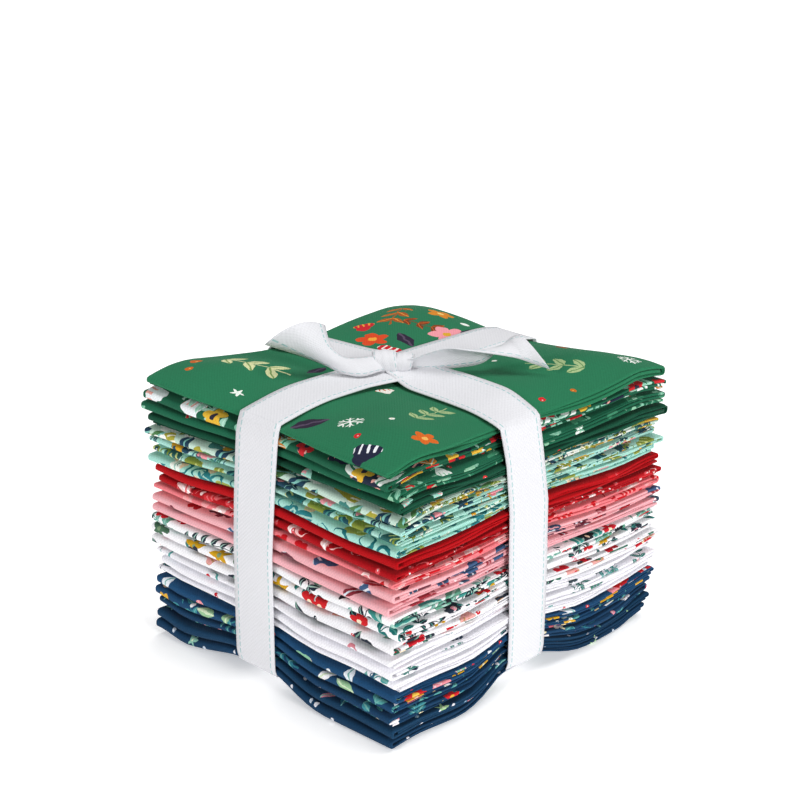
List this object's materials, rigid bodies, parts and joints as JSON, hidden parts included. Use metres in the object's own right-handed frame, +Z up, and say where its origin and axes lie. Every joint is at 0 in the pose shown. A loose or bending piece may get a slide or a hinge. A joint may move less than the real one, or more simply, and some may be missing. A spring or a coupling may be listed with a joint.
{
  "type": "fat quarter bundle",
  "caption": "Stack of folded cotton quilting cuts, tied both ways with one flat ribbon that is knotted on top with two free ends.",
  "frame": {"origin": "middle of the bundle's box, on the surface that it rests on", "axes": "+Z up through the stack; +X towards the side with the cuts' folded inner edges on end; +Y along the letter folds' depth, away from the front"},
  "size_m": [0.142, 0.1632, 0.1335],
  "materials": {
    "navy_cotton": "printed quilting cotton, navy ground, matte",
    "white_cotton": "printed quilting cotton, white ground, matte",
    "pink_cotton": "printed quilting cotton, pink ground, matte",
    "red_cotton": "printed quilting cotton, deep red ground, matte",
    "mint_cotton": "printed quilting cotton, mint ground, matte",
    "green_cotton": "printed quilting cotton, green ground, matte",
    "woven_ribbon": "fine woven white tape with a running stitch along each edge"
  },
  "bodies": {
    "root": {"fat_quarter_01": "navy_cotton", "fat_quarter_02": "navy_cotton", "fat_quarter_03": "navy_cotton", "fat_quarter_04": "navy_cotton", "fat_quarter_05": "navy_cotton", "fat_quarter_06": "white_cotton", "fat_quarter_07": "white_cotton", "fat_quarter_08": "white_cotton", "fat_quarter_09": "white_cotton", "fat_quarter_10": "white_cotton", "fat_quarter_11": "white_cotton", "fat_quarter_12": "pink_cotton", "fat_quarter_13": "pink_cotton", "fat_quarter_14": "red_cotton", "fat_quarter_15": "red_cotton", "fat_quarter_16": "red_cotton", "fat_quarter_17": "mint_cotton", "fat_quarter_18": "mint_cotton", "fat_quarter_19": "mint_cotton", "fat_quarter_20": "mint_cotton", "fat_quarter_21": "green_cotton", "fat_quarter_22": "green_cotton", "fat_quarter_23": "green_cotton", "fat_quarter_24": "green_cotton", "ribbon": "woven_ribbon"}
  },
  "joints": []
}
